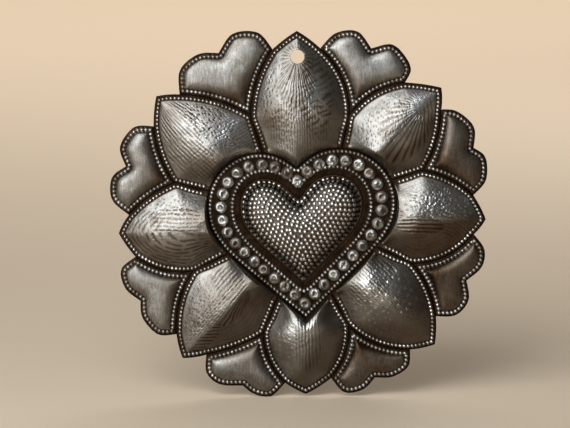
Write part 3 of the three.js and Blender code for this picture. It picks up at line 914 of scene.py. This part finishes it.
# keel: height of the line along the axis, swell: roundness of the sides, flank: width of the steep fall to
# the border, bank: share of the height that falls more gently, over the bank's width, shadeAwayFromLamp:
# tone lost as painted shade on the slopes that face away from the lamps
petals = {
    "petal_top": dict(keel=0.0, swell=0.7, flank=4.5, bank=0.5, bankWidth=24, shadeAwayFromLamp=0.06, layers=[
        paintedLight(-9j, (14, 6), -0.27, side=-1),
        paintedLight(-6 + 13j, (10, 6), 0.15),
        mark("rays", 18, (9, 8), focus=20, facing=-1, pitch=15, depth=0.12),
        mark("rays", 8, (12, 9), focus=20, facing=-1, pitch=5, depth=0.13),
        mark("dents", -2 + 8j, (17, 9), side=1, turn=-25, pitch=1.5, stretch=2.0, radius=0.38, share=0.6,
             depth=0.09, shade=0.12),
        mark("lines", 2 - 9j, (18, 8), side=-1, turn=-62, pitch=2.8, dash=6.0, wander=0.9, depth=0.15,
             shade=0.4),
        mark("lines", -12, (14, 15), pitch=1.25, dash=4.0, wander=0.7, depth=0.1),
    ]),
    "petal_upper_right": dict(keel=0.6, swell=0.15, flank=4.5, shadeAwayFromLamp=0.15, layers=[
        paintedLight(13 - 1j, (9, 8), -0.36),
        paintedLight(-2 - 5j, (12, 5), -0.24, side=-1),
        mark("dents", -7 + 7j, (15, 9), side=1, turn=45, pitch=1.2, stretch=1.8, radius=0.36, share=0.6,
             depth=0.09, shade=0.14),
        mark("rays", 4j, (13, 6), side=1, focus=12, facing=-1, pitch=9, depth=0.08),
        mark("rays", -5 - 5j, (14, 9), side=-1, focus=13, facing=-1, pitch=7, width=0.22, wander=0.2,
             depth=0.27, shade=0.34),
        mark("lines", 13 - 4j, (8, 6), side=-1, turn=50, pitch=1.7, depth=0.1),
    ]),
    "petal_right": dict(keel=0.3, swell=0.2, flank=0.9, bank=0.42, bankWidth=12, shadeAwayFromLamp=0.28, layers=[
        paintedLight(8 + 7j, (16, 9), -0.12, side=1),
        mark("dents", -6 + 6j, (15, 9), side=1, turn=8, pitch=1.25, stretch=2.2, radius=0.38, share=0.65,
             depth=0.1, shade=0.14),
        mark("lines", -9 - 1.5j, (11, 4.5), pitch=1.85, width=0.24, depth=0.34, shade=0.4),
        mark("arcs", 8 - 1j, (9, 8), focus=-14j, pitch=1.6, wander=0.2, depth=0.08, shade=0.12),
        # these dents are lighter: a painted highlight
        mark("dents", 5 + 8j, (16, 8), turn=-30, pitch=1.6, radius=0.42, share=0.6, depth=0.1, shade=-0.22),
        mark("contours", -10j, (20, 7), side=-1, pitch=1.7, depth=0.04, shade=0.06),
    ]),
    "petal_lower_right": dict(swell=0.4, flank=0.9, bank=0.48, bankWidth=12, shadeAwayFromLamp=0.24, layers=[
        paintedLight(-13 + 4j, (11, 10), -0.25),
        mark("lines", -17 + 3j, (8, 14), pitch=1.6, dash=5.0, depth=0.18),
        mark("studs", -7 + 5j, (14, 11), turn=90, pitch=3.1, row=3.7, slip=0.9, radius=1.0, depth=0.22,
             shade=0.2),
        mark("studs", -5 - 9j, (14, 7), turn=80, pitch=2.9, row=2.9, slip=1.2, radius=0.8, depth=0.1,
             shade=0.15),
        mark("lines", -3 + 5j, (14, 9), pitch=1.1, dash=2.5, wander=0.8, depth=0.06),
    ]),
    "petal_bottom": dict(keel=0.3, swell=0.6, flank=0.8, bank=0.3, bankWidth=4, shadeAwayFromLamp=0.2, layers=[
        paintedLight(-15 + 1j, (6, 10), -0.22),
        paintedLight(-6 - 10j, (10, 6), 0.1),
        mark("lines", -9 + 2j, (16, 7), pitch=1.6, depth=0.15),
        mark("studs", -2 - 9j, (15, 6), turn=10, pitch=2.6, row=2.6, slip=1.2, radius=0.8, depth=0.06,
             shade=0.1),
    ]),
    "petal_lower_left": dict(keel=1.2, swell=0.05, flank=1, shadeAwayFromLamp=0.2, layers=[
        paintedLight(14 - 2j, (7, 5), -0.12),
        paintedLight(-9j, (20, 10), 0.1, side=-1),
        mark("lines", -3j, (20, 5), side=-1, pitch=1.3, dash=3.0, depth=0.12),
        mark("dents", -2 - 9j, (20, 9), side=-1, pitch=1.0, stretch=2.4, radius=0.36, share=0.6,
             depth=0.08, shade=0.12),
        mark("lines", -16 - 6j, (7, 10), side=-1, pitch=1.7, depth=0.18),
        mark("lines", 11 + 2j, (10, 3.5), side=1, turn=-50, pitch=1.7, depth=0.3, shade=0.35),
        mark("rays", -9 + 2j, (12, 4.5), side=1, focus=-24 - 1j, facing=1, pitch=5, depth=0.3, shade=0.35),
        mark("contours", -4 + 10j, (18, 7), side=1, pitch=1.7, depth=0.04, shade=0.06),
    ]),
    "petal_left": dict(keel=0.3, swell=0.15, flank=1, shadeAwayFromLamp=0.08, keelRound=3.0, layers=[
        paintedLight(13 + 1j, (8, 6), 0.1),
        paintedLight(-15 - 6j, (6, 8), 0.07),
        paintedLight(-4 + 3j, (13, 7), -0.14, side=1),
        mark("contours", 8j, (22, 10), side=1, pitch=1.5, dash=9.0, wander=0.25, depth=0.16, shade=0.4),
        mark("lines", -6 - 5j, (13, 7), side=-1, turn=-3, pitch=1.9, dash=3.2, wander=0.5, depth=0.15,
             shade=0.3),
        mark("contours", 12 - 4j, (11, 8), side=-1, pitch=1.6, dash=5.0, wander=0.25, depth=0.12),
        mark("dents", -11j, (18, 7), side=-1, turn=20, pitch=1.1, stretch=2.0, radius=0.36, share=0.55,
             depth=0.08, shade=0.14),
    ]),
    "petal_upper_left": dict(swell=0.15, flank=4.5, bank=0.3, bankWidth=13, shadeAwayFromLamp=0.05, layers=[
        paintedLight(-8 - 1j, (16, 11), -0.07),
        paintedLight(-17 - 12j, (11, 10), -0.38),
        paintedLight(15 + 1j, (8, 8), 0.08),
        mark("veins", 8j, (22, 12), side=1, base=-6, tip=24, pitch=1.7, dash=14.0, wander=0.2, depth=0.18),
        mark("veins", 6 - 3j, (13, 4), side=-1, base=-6, tip=24, pitch=1.7, dash=9.0, wander=0.2,
             depth=0.13),
        mark("lines", -14 + 9j, (8, 8), side=1, turn=80, pitch=1.9, dash=2.5, depth=0.08, shade=0.15),
        mark("dents", -4 - 8j, (17, 8), side=-1, turn=20, pitch=1.1, stretch=1.8, radius=0.42, share=0.5,
             depth=0.08, shade=0.2),
        mark("dents", 2 - 9j, (19, 7), side=-1, pitch=2.2, radius=0.26, share=0.4, depth=0.12, shade=0.4),
        mark("lines", -17 - 11j, (9, 8), turn=70, pitch=1.4, dash=3.5, wander=0.7, depth=0.1, shade=0.3),
    ]),
}
nailHole = {"radius": 3.25, "share": 4 / 63, "size": 252}  # share of the grid that the hole takes up

for seed, (name, form) in enumerate(petals.items()):
    size = nailHole["size"] if name == "petal_top" else petalLook["size"]
    loop, _ = fieldLoop(name, size)
    axis, middle = petalAxis(loop)
    beads = evenSteps(inset(loop, sheet["beadInset"]), petalLook["beadPitch"])
    beads = beads[nearest(beads, outerLoop) > petalLook["beadClear"]]
    petal = {
        "loop": loop,
        "middle": middle,
        "axis": axis,
        "roof": roofOf(loop, outerLoop, petalLook),
        "beads": beads,
        "crowd": petalLook["crowd"],
        "seed": petalLook["seeds"] * seed,
        "look": dict(petalLook, **form),
    }
    spoke = np.linspace(0, 0.7, 8)
    inside = middle + np.outer(spoke, loop[::12] - middle)
    petal["peak"] = softReach(inside, petal["roof"]["foot"]).max()
    if name == "petal_top":
        petal.update(hole=0j, holeRadius=nailHole["radius"], holeShare=nailHole["share"])
    addField(name, petal, petalRelief, size, hammeredSteel)
    print(name, len(beads), "beads")

# The small hearts

smallHeartLook = {
    "size": 120,
    "rise": 2.9,
    "crown": 0.65,
    "lean": 0.06,  # rise lost per millimetre away from the plate's middle
    "leanMore": {"right_upper": 0.06, "right_lower": 0.05, "left_upper": -0.07},
    "footInset": 2.5,
    "beadPitch": 1.98,
    "tone": 0.6,
    "toneFull": 0.7,  # from the foot inwards
    "pointDarkening": 0.3,  # tone lost towards the heart's point
    "pointReach": 14.0,
    "shadeAwayFromLamp": 0.25,  # tone lost, as painted shade, by the hearts that lie away from the lamps
    # direction away from the lamps
    "shadedSide": 0.8 - 0.6j,
    "awayShadeStart": 0.1,  # how much a heart lies to that side, 1 being all
    "awayShadeFull": 0.95,
    # painted shade for single hearts; the one below 0 is painted light
    "paintedShadeMore": {"left_upper": 0.04, "top_right": -0.04, "right_upper": 0.1},
    "uneven": 0.1,
    "unevenSize": 3.2,
    "unevenStart": 0.1,  # shares of the dome's height where this starts and is full
    "unevenFull": 0.5,
    "crowd": (0.55, 0.7),
    "firstSeed": 300,
}

for seed, name in enumerate(sorted(n for n in nodes if n.startswith("small_heart"))):
    look, place = smallHeartLook, name.removeprefix("small_heart_")
    loop, middle = fieldLoop(name, look["size"])
    axis = (middle - heartMiddle) / abs(middle - heartMiddle)
    # painted shade on the hearts that lie away from the lamps
    awayFromLamp = ease((axis * np.conj(look["shadedSide"])).real, look["awayShadeStart"], look["awayShadeFull"])
    heart = {
        "loop": loop,
        "middle": middle,
        "axis": axis,
        "paintedShade": look["shadeAwayFromLamp"] * awayFromLamp + look["paintedShadeMore"].get(place, 0.0),
        "dome": domeOf(loop, middle, look["footInset"]),
        "beads": evenSteps(inset(loop, sheet["beadInset"]), look["beadPitch"]),
        "crowd": look["crowd"],
        "seed": look["firstSeed"] + seed,
        "lean": look["lean"] + look["leanMore"].get(place, 0.0),
        "look": look,
    }
    addField(name, heart, heartRelief, look["size"], satinSteel)
print("small hearts made")

# Studio

studio = {
    "floorColour": (0.57, 0.45, 0.325),
    "floorRough": 0.9,
    "floorReach": 3.0,  # to each side and to the front
    "wallAt": 3.0,
    "bend": 0.5,
    "bendSteps": 24,
    "wallHeight": 1.6,
    "world": 0.11,
    "worldColour": (1, 0.94, 0.86),
}


def addFloor(level):
    # a sheet swept along x: flat floor, quarter-circle bend, upright back
    turn = np.linspace(0, math.pi / 2, studio["bendSteps"])
    bend, wall, reach = studio["bend"], studio["wallAt"], studio["floorReach"]
    depth = np.concatenate([[-reach], wall - bend + bend * np.sin(turn), [wall]])
    height = np.concatenate([[0.0], bend - bend * np.cos(turn), [studio["wallHeight"]]]) + level
    sides = np.array([-reach, reach])
    co = np.stack(np.broadcast_arrays(sides[None], depth[:, None], height[:, None]), -1).reshape(-1, 3)
    grid = np.arange(len(co)).reshape(len(depth), 2)
    mesh = bpy.data.meshes.new("floor")
    mesh.from_pydata(co.tolist(), [], netFaces(grid).tolist())
    mesh.polygons.foreach_set("use_smooth", np.ones(len(mesh.polygons), bool))
    paper = bpy.data.materials.new("studio paper")
    paper.use_nodes = True
    shader = paper.node_tree.nodes["Principled BSDF"]
    shader.inputs["Base Color"].default_value = (*studio["floorColour"], 1)
    shader.inputs["Roughness"].default_value = studio["floorRough"]
    mesh.materials.append(paper)
    floor = bpy.data.objects.new("floor", mesh)
    scene.collection.objects.link(floor)


def aim(thing, place, target):
    thing.location = place
    direction = np.array(target, float) - np.array(place, float)
    flat = math.hypot(direction[0], direction[1])
    thing.rotation_euler = (math.atan2(flat, -direction[2]), 0, math.atan2(-direction[0], direction[1]))


def addLamp(name, place, target, size, power, colour=(1, 1, 1)):
    lamp = bpy.data.lights.new(name, "AREA")
    lamp.shape, lamp.size, lamp.size_y = "RECTANGLE", *size
    lamp.energy, lamp.color = power, colour
    holder = bpy.data.objects.new(name, lamp)
    scene.collection.objects.link(holder)
    aim(holder, place, target)


plateMiddle = (0.0, 0.0, -0.0765)
addFloor(cadBox[0].z)
daylight = (0.88, 0.95, 1.0)
addLamp("softbox", (-0.42, -0.7, 0.1), plateMiddle, (0.8, 0.55), 7.2, daylight)
addLamp("overhead", (-0.25, -0.55, 0.5), plateMiddle, (0.8, 0.4), 4.5, daylight)
addLamp("spark", (-0.2, -0.9, 0.6), plateMiddle, (0.2, 0.2), 1.5, daylight)
addLamp("back fill", (0.45, 0.9, 0.5), plateMiddle, (0.7, 0.5), 2.5, daylight)
addLamp("backdrop lamp", (0.0, 1.3, 1.5), (0.0, 2.8, -0.1), (3.0, 0.6), 58.0)

world = bpy.data.worlds.new("studio")
world.use_nodes = True
background = world.node_tree.nodes["Background"].inputs
background["Color"].default_value = (*studio["worldColour"], 1)
background["Strength"].default_value = studio["world"]
scene.world = world

view = {"lens": 240, "sensor": 36, "distance": 1.788, "rise": 9.0, "target": (-0.00575, 0.0, -0.0749)}
lens = bpy.data.cameras.new("camera")
lens.lens, lens.sensor_width = view["lens"], view["sensor"]
camera = bpy.data.objects.new("camera", lens)
scene.collection.objects.link(camera)
back = (0.0, -math.cos(math.radians(view["rise"])), math.sin(math.radians(view["rise"])))
aim(camera, [t + view["distance"] * b for t, b in zip(view["target"], back)], view["target"])
scene.camera = camera

print("studio and camera set")
